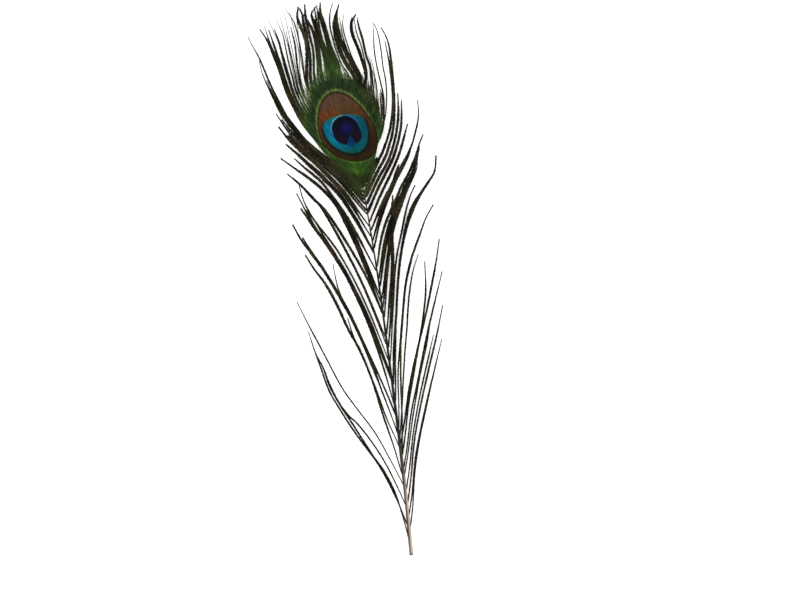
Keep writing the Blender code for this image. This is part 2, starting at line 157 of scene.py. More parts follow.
RIGHT_LOCKS = [
    [(0.6, [(5, 26), (9, 44), (14.5, 62), (21, 79.5), (27.5, 96), (34, 112)]),
     (0.6, [(6, 34), (10.5, 52), (16.5, 69), (23, 85), (29, 100)])],
    [(0.7, [(6.3, 41), (11, 60), (17.5, 79), (24.5, 97), (31.5, 114), (37.5, 130)]),
     (0.6, [(6.5, 47), (11, 64), (17, 82), (23.5, 99), (30, 115)])],
    [(0.65, [(7.2, 59), (12, 76), (18.5, 94), (25.5, 113), (32.5, 130), (40, 148)]),
     (0.55, [(7, 55), (12.5, 74), (19, 93), (26, 112), (30.5, 126)])],
    [(0.8, [(8, 73), (12.5, 88), (18, 103), (23.8, 117), (29, 130), (34, 144), (38, 155.5), (41, 165.5)]),
     (0.7, [(7, 65), (11, 80), (16, 95), (21, 110), (25.7, 125), (29.3, 139), (31.5, 155)])],
    [((0.65, 0.9), [(6.9, 76), (8.5, 89.5), (9.9, 100), (12, 113), (15.8, 129), (19, 142), (22, 151),
        (25.8, 160), (31.2, 169.8), (35.7, 177.7), (40.7, 184)]),
     (0.6, [(7.6, 80), (10.6, 95), (13.8, 110), (16.2, 120), (18.4, 130), (21, 140), (24.5, 150.5),
        (28.6, 159)]),
     ((0.5, 0.8), [(5.8, 80), (7.7, 95), (9.6, 105), (12.4, 117), (15.8, 131), (19.4, 144.5), (23, 154),
        (27.6, 163.5), (32, 171)])],
    [((0.85, 1.1), [(5.7, 98), (7.2, 108), (9.8, 120), (12.2, 130), (14.2, 140), (16.5, 150), (19.2, 160),
        (23, 170.5), (27.8, 180.5), (34, 190), (40, 197), (44, 201.8), (46, 210)]),
     ((0.7, 1), [(5.9, 92), (7.7, 105), (9.3, 114), (11.2, 125), (13.9, 138), (16.9, 152), (21, 165.5),
        (25, 176.5), (29.5, 185.3), (33.8, 190.5), (38.8, 195)]),
     ((0.6, 0.8), [(7.2, 115), (9.8, 128), (12.4, 140), (14.8, 151.5), (17.5, 161), (20.8, 170), (23.7, 178),
        (26.4, 185), (29.6, 191.5), (32.7, 196)])],
    [(0.95, [(7.2, 121), (9.4, 131), (11.4, 141), (13.7, 150.5), (15.2, 160), (16.4, 170), (17.6, 179),
        (18.9, 186), (19.9, 192.5)]),
     (0.85, [(7.4, 128), (9.8, 138.5), (12.4, 149), (14.3, 159), (15.7, 169), (17, 178), (18.6, 188)])],
    [(0.9, [(7.4, 137), (9.8, 148), (12.6, 159), (15.7, 169.5), (19.6, 179), (24, 187), (28.4, 195),
        (31.8, 199.8), (34.7, 204.7)]),
     (0.85, [(7.4, 144.5), (9.8, 153), (12.5, 162), (15.5, 171.5), (19.2, 181), (23.8, 189.7), (28.6, 197.5),
        (33, 203)]),
     (0.7, [(7.3, 141), (9.6, 151), (12.4, 161), (14.9, 171.5), (17.3, 181), (18.7, 189)])],
    [(1.1, [(7.4, 151), (9.9, 159.5), (13.2, 169.5), (16.9, 178), (20.9, 185), (25.5, 192), (28.2, 196.3),
        (31.6, 200.5), (34.2, 204.5), (35.2, 208), (36.4, 212), (37.9, 216)]),
     (1, [(7.4, 155), (9.8, 163), (12.6, 170.8), (16.2, 179), (20.3, 186.2), (24.8, 192.7), (27.4, 197),
        (30.6, 201), (33.2, 205), (35.4, 210.5)])],
    [((1.2, 0.9), [(7.2, 161), (9.6, 169), (13.6, 178), (17.9, 185), (22.5, 192), (24.8, 196), (28, 200),
        (30.9, 204), (33.4, 208), (35.7, 212), (37.5, 216), (39.6, 220), (41.2, 222.3)])],
    [((1.1, 0.6), [(6.8, 169), (9.9, 177), (13.8, 185), (17.2, 191), (20.4, 196), (23, 200.3), (25.8, 204),
        (28.7, 208), (31.3, 212), (33.3, 216), (35.4, 220), (37.1, 224), (38.8, 228), (40.3, 233),
        (40.8, 237), (40.9, 241)]),
     (1.1, [(6.8, 172.8), (9.6, 179), (13.2, 186), (16.6, 192), (19.7, 196.8), (22.3, 200.8), (25.1, 204.6),
        (28, 208.6), (30.4, 212), (32.8, 216.3)])],
    [(1.15, [(7, 178.2), (11.1, 185), (15.7, 192), (18.9, 196.2), (21.6, 200), (23.6, 204), (25.7, 208.3)])],
    [((1.3, 0.85), [(7, 183), (9.3, 186.8), (12.4, 192), (15.2, 196.2), (17.8, 200), (20.6, 204),
        (23.3, 208.2), (25.8, 212), (27.8, 216), (29.5, 220), (31.3, 224), (33.5, 229.3)])],
    [((1.3, 0.75), [(6.9, 188.7), (9.2, 192), (11.8, 196), (14.6, 200), (17.5, 204), (20.4, 208),
        (23.2, 212), (25.2, 216), (27, 220), (28.6, 224), (29.9, 228), (31.2, 234), (32.5, 242.3)]),
     ((1, 0.6), [(6.7, 187.4), (8.9, 191), (11.4, 195.6), (14.1, 199.8), (17, 204), (20, 208.3),
        (22.7, 212.3), (24.8, 216.3), (26.6, 220.3)])],
    [((1.35, 0.75), [(6.9, 192.4), (9.2, 196), (11.8, 200), (14.6, 204), (17.9, 208), (20.7, 212),
        (22.9, 216), (24.8, 220), (26.5, 224), (27.9, 228), (29.1, 232), (30.1, 237), (30.9, 246.5)])],
    [((1.35, 0.7), [(7, 196.4), (9.4, 200), (12, 204), (14.9, 208), (18.1, 212), (20.6, 216), (22.5, 220),
        (24.4, 224), (25.8, 228), (27, 233), (28.2, 240), (29.2, 249), (30, 260), (30.4, 270), (29.6, 277),
        (27.3, 283)]),
     ((1.35, 0.6), [(7.2, 199.6), (9.7, 204), (12.4, 208), (15.1, 212), (17.9, 216), (20.2, 220),
        (22.2, 224), (24, 228), (25.2, 232), (26.5, 236.5), (27.6, 242), (28.5, 250), (29, 262),
        (28.6, 275.3)]),
     (1.2, [(6.8, 202.2), (8.8, 205.4), (11.3, 208.8), (13.4, 212), (14.7, 213.8)]),
     (1.1, [(6.8, 205), (9, 208.4), (11.6, 211.8)], 2, 0.9)],
]
# The crown's strands start within the vane.
CROWN_LOCKS = [
    [(0.9, [(-14.8, 229), (-19.4, 235), (-23, 242), (-25.9, 249.5), (-28.2, 258), (-29.5, 268), (-31.2, 276),
        (-33.3, 284), (-36.7, 291.7)], 2, 0.6),
     ((1.1, 0.8), [(-18, 233), (-22, 240), (-25.5, 248.5), (-27.5, 258), (-29, 270), (-30.3, 280.5),
        (-32.3, 290.8)]),
     (0.5, [(-26.3, 249), (-28.3, 258), (-29.7, 268), (-31.2, 277), (-33, 286), (-34.3, 293)]),
     ((1.1, 0.8), [(-19, 237), (-23, 245), (-26, 255), (-27.9, 266), (-29.5, 278)]),
     (0.8, [(3.2, 200), (-1, 208.6), (-6.6, 216.6), (-11.6, 223.1), (-17, 229.8), (-21.2, 237.5),
        (-24.5, 246), (-27.2, 256)], 3, 1.1)],
    [((1, 0.8), [(-17.5, 238), (-21.5, 246), (-24.3, 255), (-26, 267), (-27.3, 278), (-28, 284.5),
        (-29.2, 290.5)], 2, 0.4),
     (0.3, [(-23.5, 252), (-25, 262), (-26.5, 274), (-29, 287), (-32, 297)])],
    [((1, 0.3), [(-16.5, 240), (-20.5, 248), (-22.8, 256), (-23.5, 264), (-24.2, 272), (-24.7, 280),
        (-25.4, 288), (-27.6, 296)]),
     (0.25, [(-21.5, 252), (-22.5, 262), (-23, 272), (-23.5, 283), (-25.5, 297.5)])],
    [((1, 0.35), [(-15.5, 240), (-19, 248), (-21.2, 256), (-21.7, 264), (-22.2, 272), (-22.8, 280),
        (-23.3, 289)]),
     (0.25, [(-19.5, 252), (-20.8, 262), (-21.2, 275), (-22, 288), (-22.8, 299)])],
    [((1, 0.6), [(-14.5, 242), (-17.8, 249), (-19.5, 256), (-20, 264), (-19.8, 273), (-19.7, 281),
        (-20.4, 290.5)]),
     (0.25, [(-18.5, 254), (-19.2, 264), (-18.2, 276), (-18.8, 288), (-19.8, 299)])],
    [((0.8, 0.4), [(-12.5, 247), (-15.8, 254), (-17.2, 262), (-16.9, 270), (-17, 278), (-17.3, 287),
        (-18, 292.5), (-19.6, 296.5), (-22, 300.6)]),
     (0.25, [(-15, 252), (-17, 261), (-17.7, 273), (-17.2, 284), (-16.6, 293)])],
    [((1.4, 1.2), [(-12, 247), (-15.4, 254.5), (-16.2, 260.5), (-15.7, 264.5), (-15, 268.5), (-14.3, 272.5),
        (-13.7, 276.5), (-13.4, 281), (-14.1, 286), (-15.2, 290.5), (-16.1, 295.5), (-14.9, 300.5)]),
     ((1.1, 1.2), [(-10.5, 249), (-13.4, 255.5), (-14.2, 261), (-13.6, 265), (-12.8, 270), (-12.3, 275),
        (-12.5, 280), (-12.8, 286), (-13.4, 291.5), (-13.1, 296), (-14, 299.5)])],
    [((0.8, 1.2), [(-9, 250), (-11.6, 257), (-12, 262), (-11.3, 267), (-10.6, 272), (-10.3, 277),
        (-10.9, 283), (-11.2, 289), (-11.6, 295), (-11.3, 301.2)]),
     ((0.85, 1), [(-7.8, 252), (-9.6, 258), (-9.9, 263), (-9.1, 268), (-8.8, 273), (-8.6, 279), (-8.8, 285),
        (-9.8, 290), (-12.3, 296)]),
     (0.9, [(-7, 252), (-7.9, 260), (-7.8, 267), (-7.4, 273), (-7.4, 279), (-8.3, 284), (-9.2, 289)], 2,
        0.5)],
    [((1.1, 0.8), [(-4.6, 253), (-4.8, 262), (-4.8, 270), (-5.2, 276), (-6.3, 281), (-7, 286), (-7.7, 291),
        (-8.5, 296), (-5.6, 299.3)], 2, 0.7),
     ((1.1, 0.8), [(-4.2, 254), (-4.4, 264), (-4.4, 272), (-5, 278), (-5.8, 284), (-6.3, 289), (-6.2, 293),
        (-5.8, 299)]),
     ((1, 0.7), [(-4, 254), (-4.2, 264), (-4.3, 272), (-4.6, 279), (-5.1, 286), (-5, 292), (-5, 300)])],
    [((1.3, 1.1), [(0.5, 254), (1.8, 261.5), (1, 268), (-0.6, 273.5), (-1.7, 279), (-2.3, 285), (-3.1, 291),
        (-3.7, 296), (-2.9, 301)], 3, 1.3),
     ((1, 0.6), [(-1, 254), (-0.6, 262), (-1.2, 269), (-1.9, 275), (-2.3, 281), (-2.8, 287), (-3.9, 293),
        (-4.3, 298)], 2, 0.8),
     (1, [(-3, 254), (-2.8, 262), (-3.2, 269), (-4.2, 275), (-4.9, 280), (-5.3, 285)], 3, 1.8)],
    [(0.6, [(3, 254), (6.3, 260.5), (4.6, 264), (3.1, 268), (2.4, 272), (1.6, 276), (1.1, 280.5), (0.6, 286),
        (0.9, 291), (2.1, 296), (3.8, 299.5)]),
     ((1.4, 1), [(5, 252), (9.4, 256.5), (8.8, 260), (7.2, 264), (5.5, 268), (4.2, 272), (3.5, 276),
        (3, 280), (2.8, 284), (2.9, 288), (4.1, 292.5), (5.8, 296), (6.8, 298.5)], 2, 0.6),
     ((1.4, 1), [(7, 251), (12, 256), (11.4, 260), (9.8, 264), (8.5, 268), (7.1, 272), (6, 276), (5, 280),
        (4.5, 285), (4.4, 290), (5.6, 296)], 2, 0.8),
     ((0.6, 0.4), [(9, 250), (13.1, 256.5), (12.4, 261), (11.2, 264.5), (9.9, 268.5), (9.1, 272), (8.4, 276),
        (7.8, 280), (7.4, 285), (7.6, 289), (8.9, 292.8)]),
     (0.4, [(8, 251), (12.4, 257.5), (10.3, 264.5), (8.2, 272), (6.9, 278), (6.5, 283), (6.6, 292)])],
    [(1.1, [(12, 249), (15.2, 256), (15.6, 262), (15, 267), (14, 272), (13, 276), (12, 280), (11.6, 284.5),
        (12.5, 289), (14.9, 292)], 2, 0.4),
     ((0.6, 0.4), [(12.5, 249), (16, 257), (16.4, 264), (15.9, 271), (15.4, 276), (14.4, 281), (14.2, 286),
        (14.3, 291)])],
    [((0.45, 0.7), [(14.5, 246), (18, 253), (18.6, 262), (17.5, 268), (17.1, 274), (16.8, 279), (16, 284),
        (15.7, 290)], 2, 0.5),
     (0.25, [(13, 240), (16.6, 247), (18.6, 255), (19, 263), (18.6, 269)], 3, 2.2),
     (0.3, [(14.5, 228), (17.5, 236), (19.3, 245), (19.6, 254), (19.6, 261)], 3, 2.4),
     ((1, 0.6), [(14.6, 219), (18, 225.5), (20, 231), (21.4, 237), (22, 243), (21.8, 250)], 2, 1.2)],
    [((0.8, 0.4), [(16, 222), (20.3, 230.5), (22.6, 240), (23.2, 249), (22.2, 260), (22.1, 270), (23.2, 280),
        (23.7, 286.3)])],
    [(0.5, [(19, 227), (22.5, 235), (25, 246), (25.7, 254), (25.3, 262), (25.6, 272), (25.2, 281),
        (24, 285.5)])],
]
# The part of the outline that the vane's barbs reach.
VANE_ENDS = (0.315, 0.84)

# -------- curves


def smoothstep(low, high, value):
    share = np.clip((np.asarray(value, float) - low) / (high - low), 0, 1)
    return share * share * (3 - 2 * share)


def through(points, shares):
    """The places at these shares of the way along a smooth curve through the points."""
    points = np.asarray(points, float)
    spans = len(points) - 1
    at = np.clip(np.atleast_1d(shares), 0, 1) * spans
    k = np.minimum(at.astype(int), spans - 1)
    t = (at - k)[:, None]
    padded = np.vstack([2 * points[0] - points[1], points, 2 * points[-1] - points[-2]])
    before, here, there, after = (padded[k + n] for n in range(4))
    way_out, way_in = (there - before) / 2, (after - here) / 2
    return (
        (2 * t**3 - 3 * t**2 + 1) * here
        + (t**3 - 2 * t**2 + t) * way_out
        + (3 * t**2 - 2 * t**3) * there
        + (t**3 - t**2) * way_in
    )


SHAFT_LINE = through(SHAFT_ROUTE, np.linspace(0, 1, 600))


def shaft_at(y):
    return np.interp(y, SHAFT_LINE[:, 1], SHAFT_LINE[:, 0])


def shaft_width(y):
    share = np.minimum(np.asarray(y, float) / SHAFT_END, 1)
    return SHAFT_BUTT_WIDTH + (SHAFT_END_WIDTH - SHAFT_BUTT_WIDTH) * share**0.85


def shaft_middle(y):
    """Height of the middle of the shaft, and past its end of the vane's middle line."""
    head = HEAD_RISE * smoothstep(HEAD_RISE_FROM, HEAD_RISE_TO, y)
    fall = CROWN_FALL * smoothstep(CROWN_FALL_FROM, CROWN_FALL_TO, y)
    return head - fall + shaft_width(y) * SHAFT_HEIGHT_RATIO / 2


def vane_height(x, y):
    aside = (x - shaft_at(y)) / VANE_FALL_AT
    return shaft_middle(y) - VANE_FALL * aside * aside


def heading(degrees):
    turn = np.radians(degrees)
    return np.array([np.sin(turn), np.cos(turn)])


def bezier(start, leave, end, arrive, shares):
    """A plan curve between two places, with its heading at each."""
    start, end = np.asarray(start, float), np.asarray(end, float)
    handle = HANDLE * np.linalg.norm(end - start)
    first, last = start + handle * heading(leave), end - handle * heading(arrive)
    t = np.asarray(shares)[:, None]
    return (1 - t) ** 3 * start + 3 * t * (1 - t) ** 2 * first + 3 * t**2 * (1 - t) * last + t**3 * end


def run_of(path):
    """The distance along the path at each of its points."""
    return np.concatenate([[0], np.cumsum(np.linalg.norm(np.diff(path, axis=0), axis=1))])


def sideways(plan):
    """The direction to the right of a line on the plan, at each of its points."""
    way = np.gradient(plan, axis=0)
    way /= np.linalg.norm(way, axis=1)[:, None]
    return np.stack([way[:, 1], -way[:, 0]], 1)


def evenly(path, count):
    run = run_of(path)
    at = np.linspace(0, run[-1], count)
    return np.stack([np.interp(at, run, axis) for axis in path.T], 1)


def wander(rng, count, size, waves):
    """A slow random sway from side to side, nothing at the root and full at the tip."""
    knots = rng.normal(0, size, waves + 1)
    knots[0] = 0
    shares = np.linspace(0, 1, count)
    return through(np.stack([np.arange(waves + 1), knots], 1), shares)[:, 1] * shares


# -------- meshes


class Bundle:
    """The triangles of one piece. Each point has its barb's tone, from 0 to 1, its distance along the barb,
    and how near it is to a barbule's tip."""

    def __init__(self):
        self.places, self.corners, self.tones, self.alongs, self.edges = [], [], [], [], []
        self.smooth = []
        self.count = 0

    def add(self, places, corners, tone, along, edge, smooth):
        self.places.append(places)
        self.corners.append(corners + self.count)
        self.tones.append(np.broadcast_to(tone, len(places)))
        self.alongs.append(np.broadcast_to(along, len(places)))
        self.edges.append(np.broadcast_to(edge, len(places)))
        self.smooth.append(np.full(len(corners), smooth))
        self.count += len(places)


def grid_corners(rows, columns, closed):
    """The triangles between rows of points; a closed row joins its last point to its first."""
    k = np.arange(rows - 1)[:, None] * columns
    j = np.arange(columns if closed else columns - 1)[None, :]
    after = (j + 1) % columns
    a, b, c, d = k + j, k + after, k + columns + after, k + columns + j
    return np.concatenate([np.stack([a, b, c], -1).reshape(-1, 3), np.stack([a, c, d], -1).reshape(-1, 3)])


RAMUS_STEP = 2.2
RAMUS_SIDES = 3
RAMUS_RADIUS = 0.23
RAMUS_TIP_RADIUS = 0.16
BLADE_EDGE = [0.0, 0.55, 1.0, 0.55]
FLOOR_CLEARANCE = 0.04


def add_barb(bundle, path, rng, reach, angle, spacing, width, fray, ramus, fullness, taper, swell=0.0):
    """One barb along the path: a thin ramus, with pointed barbules lying forward on both its sides.

    Reach is a barbule's length, angle its turn from the ramus, and width its own. Fullness is the share of
    the reach at the root and taper the share at the tip. Swell is added past the middle.
    """
    tone = rng.uniform(0, 1)
    length = run_of(path)[-1]
    line = evenly(path, max(8, int(length / RAMUS_STEP)) + 1)
    shares = np.linspace(0, 1, len(line))
    tangent = np.gradient(line, axis=0)
    tangent /= np.linalg.norm(tangent, axis=1)[:, None]
    aside = np.stack([tangent[:, 1], -tangent[:, 0], np.zeros(len(line))], 1)
    aside /= np.linalg.norm(aside, axis=1)[:, None]
    upward = np.cross(aside, tangent)

    radius = ramus * (RAMUS_RADIUS + (RAMUS_TIP_RADIUS - RAMUS_RADIUS) * shares)
    radius = (radius * (1 + (taper - 1) * shares * 0.5))[:, None, None]
    turns = 2 * math.pi * np.arange(RAMUS_SIDES) / RAMUS_SIDES + math.pi / 2
    ring = aside[:, None] * np.cos(turns)[None, :, None] + upward[:, None] * np.sin(turns)[None, :, None]
    tube = (line[:, None] + ring * radius).reshape(-1, 3)
    ends = np.arange(RAMUS_SIDES)
    caps = np.array([ends[::-1], ends + len(tube) - RAMUS_SIDES])
    corners = np.concatenate([grid_corners(len(line), RAMUS_SIDES, True)[:, ::-1], caps[:, ::-1]])
    bundle.add(tube, corners, tone, np.repeat(shares * length, RAMUS_SIDES), 0.0, True)

    def at(where, values):
        return np.stack([np.interp(where, shares, axis) for axis in values.T], 1)

    count = max(4, int(length / spacing))
    for side in (-1, 1):
        root = (np.arange(count) + rng.uniform(0.1, 0.9, count)) / count
        kept = rng.uniform(0, 1, count) > fray * smoothstep(0.7, 1.0, root)
        root = root[kept]
        size = reach * (fullness + (1 - fullness) * smoothstep(0, 0.3, root))
        size = size * (1 - 0.5 * smoothstep(0.78, 1.0, root))
        size = size * (1 + (taper - 1) * root) * (1 + swell * smoothstep(0.35, 0.9, root))
        size = size * rng.uniform(0.8, 1.15, len(root))
        turn = np.radians(angle * rng.uniform(0.8, 1.25, len(root)))
        far = root + size * np.cos(turn) / length
        past = np.maximum(far - 1, 0)[:, None] * length
        lift = rng.uniform(-0.05, 0.16, len(root))[:, None] * size[:, None]
        base = at(root, line)
        reached = at(far, line) + past * tangent[-1] + at(far, upward) * lift
        tip = reached + side * at(far, aside) * (size * np.sin(turn))[:, None]
        middle = base * 0.45 + tip * 0.55 + side * at(root, aside) * size[:, None] * 0.05
        half = at(root, tangent) * width * 0.5 + at(root, aside) * side * width * -0.15
        blades = np.stack([base, middle - half, tip, middle + half], 1).reshape(-1, 3)
        first = 4 * np.arange(len(root))[:, None]
        order = np.array([[0, 1, 2], [0, 2, 3]]) if side < 0 else np.array([[0, 2, 1], [0, 3, 2]])
        corners = (first[:, None] + order[None]).reshape(-1, 3)
        bundle.add(blades, corners, tone, np.repeat(root * length, 4), np.tile(BLADE_EDGE, len(root)), False)


shaft_left, shaft_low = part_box("shaft")[0][:2]
ORIGIN = np.array([shaft_left / MM + SHAFT_BUTT_WIDTH / 2 - SHAFT_ROUTE[0][0], shaft_low / MM, 0])


def make_piece(node, word, bundle, material):
    """A mesh of the bundle that rides on the feather and replaces its CAD node; the word ends its name."""
    name = f"{node}_{word}"
    places = (np.concatenate(bundle.places) + ORIGIN) * MM
    places[:, 2] = np.maximum(places[:, 2], FLOOR_CLEARANCE * MM)
    corners = np.concatenate(bundle.corners).astype(np.int32)
    mesh = bpy.data.meshes.new(name)
    mesh.vertices.add(len(places))
    mesh.vertices.foreach_set("co", places.astype(np.float32).ravel())
    mesh.loops.add(corners.size)
    mesh.loops.foreach_set("vertex_index", corners.ravel())
    mesh.polygons.add(len(corners))
    mesh.polygons.foreach_set("loop_start", np.arange(0, corners.size, 3, dtype=np.int32))
    mesh.polygons.foreach_set("use_smooth", np.concatenate(bundle.smooth))
    mesh.update(calc_edges=True)
    for label, values in (("tone", bundle.tones), ("along", bundle.alongs), ("edge", bundle.edges)):
        layer = mesh.attributes.new(label, "FLOAT", "POINT")
        layer.data.foreach_set("value", np.concatenate(values).astype(np.float32))
    low, span = places.min(0), np.ptp(places, axis=0)
    flat = ((places - low) / span)[corners.ravel()][:, :2]
    mesh.uv_layers.new(name="OFBake").uv.foreach_set("vector", flat.astype(np.float32).ravel())
    mesh.materials.append(material)
    piece = bpy.data.objects.new(name, mesh)
    bpy.context.scene.collection.objects.link(piece)
    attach(piece, BODY)
    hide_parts(node)


# -------- barbs of the locks

# A strand's barbules: how wide they spread in widths of the strand, their turn in degrees, how far apart
# they are set, their own width, and the share of them that is missing at its tip.
STRAND_REACH = 1.38
STRAND_ANGLE = 24
STRAND_SPACING = 0.15
STRAND_BLADE = 0.48
STRAND_FRAY = 0.2
SIDE_SWELL = 0.15
CROWN_SWELL = 0.05
LEFT_FULLNESS = 0.9
RIGHT_FULLNESS = 1.08
CROWN_FULLNESS = 0.95
# Roots near the eye's foot are fuller: by how much, and from and to which place up the shaft.
FULLER_BY = 0.45
FULLER_FROM = 180
FULLER_TO = 194
# How far from the middle of the shaft a root lies, as a share of the shaft's width.
ROOT_ASIDE = 0.35


def strand_paths(route, rng, barbs=1, spread=0.0):
    """Plans of the barbs in a strand: side by side where it is widest, together at its root and its tip."""
    middle = evenly(through(route, np.linspace(0, 1, 160)), 90)
    aside = sideways(middle)
    shares = np.linspace(0, 1, len(middle))
    for k in range(barbs):
        lane = (k - (barbs - 1) / 2) / max(barbs - 1, 1)
        full = smoothstep(-0.15, 0.35, shares) * (1 - 0.4 * smoothstep(0.6, 1, shares))
        off = lane * spread * full + wander(rng, len(middle), 0.12 + 0.1 * spread, 5)
        reach = 1.0 if k == barbs // 2 else rng.uniform(0.86, 0.98)
        yield (middle + aside * off[:, None])[: int(reach * len(middle))]


def add_strand(bundle, plan, height, width, fullness, swell, rng):
    """A barb of this width on its plan, or of one width at its root and another at its tip."""
    first, last = width if isinstance(width, tuple) else (width, width)
    reach = STRAND_REACH * first / (2 * math.sin(math.radians(STRAND_ANGLE)))
    path = np.column_stack([plan, np.maximum(height, first * 0.1)])
    add_barb(
        bundle, path, rng, reach, STRAND_ANGLE, STRAND_SPACING, STRAND_BLADE, STRAND_FRAY,
        ramus=max(0.8, min(1.0, 1.4 * first)), fullness=max(fullness - 0.4 * first, 0.4),
        taper=last / first, swell=swell,
    )


def leaving(side, places):
    """How far up the shaft a strand leaves it, on a straight line through the strand's first two places."""
    (x, y), (next_x, next_y) = places[:2]
    away = side * (x - shaft_at(y)) - shaft_width(y) * ROOT_ASIDE
    return max(y - away * (next_y - y) / abs(next_x - x), 4)


def side_barbs(side, table, material, rng):
    """The locks of one side; side is -1 on the left and 1 on the right."""
    word, full = ("left", LEFT_FULLNESS) if side < 0 else ("right", RIGHT_FULLNESS)
    for number, strands in enumerate(table, 1):
        bundle = Bundle()
        for width, places, *cluster in strands:
            root = leaving(side, places)
            start = (shaft_at(root) + side * shaft_width(root) * ROOT_ASIDE, root)
            fullness = full + FULLER_BY * float(smoothstep(FULLER_FROM, FULLER_TO, root))
            for plan in strand_paths([start, *places], rng, *cluster):
                t = np.linspace(0, 1, len(plan))
                arch = 4 * rng.uniform(0.8, 3.2) * t * (1 - t)
                height = (1 - t) * shaft_middle(root) + t * rng.uniform(0.2, 0.7) + arch
                add_strand(bundle, plan, height, width, fullness, SIDE_SWELL, rng)
        make_piece(f"{word}_barbs_{number:02d}", "fringe", bundle, material)


# -------- the vane and the crown


def vane_inner(share):
    """The edge of the shaft that the vane grows from: up its left side, round its end and down."""
    side = (1 - VANE_TIP_SHARE) / 2
    clear = shaft_width(SHAFT_END) / 2 - SLOT_OVERLAP
    if side <= share <= 1 - side:
        turn = math.pi * (share - side) / VANE_TIP_SHARE
        return np.array([shaft_at(SHAFT_END) - clear * math.cos(turn), SHAFT_END + clear * math.sin(turn)])
    y = VANE_FOOT + (SHAFT_END - VANE_FOOT) * min(share, 1 - share) / side
    away = shaft_width(y) / 2 - SLOT_OVERLAP
    return np.array([shaft_at(y) + math.copysign(away, share - 0.5), y])


# The greatest headings at which the vane's barbs leave the shaft, and the headings at which they reach the
# outline, at these shares of the way around it.
VANE_LEAVE_LEFT = 46
VANE_LEAVE_RIGHT = 40
VANE_AROUND = [0.325, 0.35, 0.395, 0.447, 0.468, 0.5, 0.568, 0.622, 0.676, 0.715, 0.795, 0.83]
VANE_ARRIVE = [-20, -12, -8, -6, 4, -4, -14, -28, -10, -4, 8, 18]


def vane_line(around, shares):
    """The plan of the barb that reaches this share of the outline."""
    low, high = VANE_ENDS
    own = (around - low) / (high - low)
    lean = math.cos(math.pi * own)
    leave = -math.copysign(abs(lean) ** 0.6, lean) * (VANE_LEAVE_LEFT if lean > 0 else VANE_LEAVE_RIGHT)
    arrive = float(np.interp(around, VANE_AROUND, VANE_ARRIVE))
    end = through(VANE_OUTLINE, around)[0]
    return bezier(vane_inner(own), leave, end, arrive, shares)


def openness(around):
    """How open the vane is near its tips at this share of the outline: most at its upper left and right."""
    return math.exp(-(((around - 0.38) / 0.045) ** 2)) + math.exp(-(((around - 0.735) / 0.05) ** 2))


VANE_BARBS = 190
SHEET_RIBS = 150
SHEET_RINGS = 26
SHEET_END = 0.86
SHEET_CUT = 0.14
SHEET_DEPTH = 0.16
SHEET_THICKNESS = 0.14


def make_vane(material, rng):
    """The closed vane: a thin sheet under about two hundred barbs that overlap like tiles."""
    bundle = Bundle()
    ribs, rings = SHEET_RIBS, SHEET_RINGS
    shares = np.linspace(0, SHEET_END, rings)
    top = []
    for around in np.linspace(*VANE_ENDS, ribs):
        plan = vane_line(around, shares * (1 - SHEET_CUT * openness(around)))
        height = vane_height(plan[:, 0], plan[:, 1]) - SHEET_DEPTH
        top.append(np.column_stack([plan, height]))
    top = np.array(top)
    under = top - (0, 0, SHEET_THICKNESS)
    sheet = np.concatenate([top.reshape(-1, 3), under.reshape(-1, 3)])
    face = grid_corners(ribs, rings, False)
    rim = np.concatenate([
        np.arange(rings), np.arange(1, ribs) * rings + rings - 1,
        (ribs - 1) * rings + np.arange(rings - 2, -1, -1), np.arange(ribs - 2, 0, -1) * rings,
    ])
    after = np.roll(rim, -1)
    below = ribs * rings
    wall = np.concatenate([
        np.stack([rim, after, after + below], 1), np.stack([rim, after + below, rim + below], 1),
    ])
    bundle.add(sheet, np.concatenate([face[:, ::-1], face + below, wall]), 0.5, 0.0, 0.5, True)

    for around in np.linspace(*VANE_ENDS, VANE_BARBS):
        around = float(np.clip(around + rng.normal(0, 0.0004), *VANE_ENDS))
        length = rng.uniform(0.86, 1.04) + 0.1 * math.exp(-(((around - 0.53) / 0.07) ** 2))
        plan = vane_line(around, np.linspace(0, 1, 30) * length)
        height = vane_height(plan[:, 0], plan[:, 1]) + rng.uniform(-0.03, 0.06)
        add_barb(
            bundle, np.column_stack([plan, height]), rng,
            reach=1.25, angle=36, spacing=0.28, width=0.3, fray=0.1, ramus=0.7, fullness=0.8,
            taper=0.45 - 0.22 * openness(around),
        )
    make_piece("eye_vane", "barbs", bundle, material)


def make_crown(material, rng):
    """Locks that run on past the vane: their barbs start among the vane's own and end in free tips."""
    for number, strands in enumerate(CROWN_LOCKS, 1):
        bundle = Bundle()
        for width, places, *cluster in strands:
            lift = rng.uniform(0.6, 2.2)
            for plan in strand_paths(places, rng, *cluster):
                t = np.linspace(0, 1, len(plan))
                over = vane_height(plan[:, 0], plan[:, 1]) + 0.3
                free = smoothstep(0.35, 1.0, t)
                height = over * (1 - free) + free * rng.uniform(0.3, 0.8) + lift * 4 * free * (1 - free)
                add_strand(bundle, plan, height, width, CROWN_FULLNESS, CROWN_SWELL, rng)
        make_piece(f"crown_barbs_{number:02d}", "fringe", bundle, material)


# -------- the shaft


# The rings of the sunk pith at the cut end: their share of the shaft's width and how deep they lie.
CUT_RINGS = [(0.3, 0.35), (0.72, 0.3), (0.8, 0.02)]


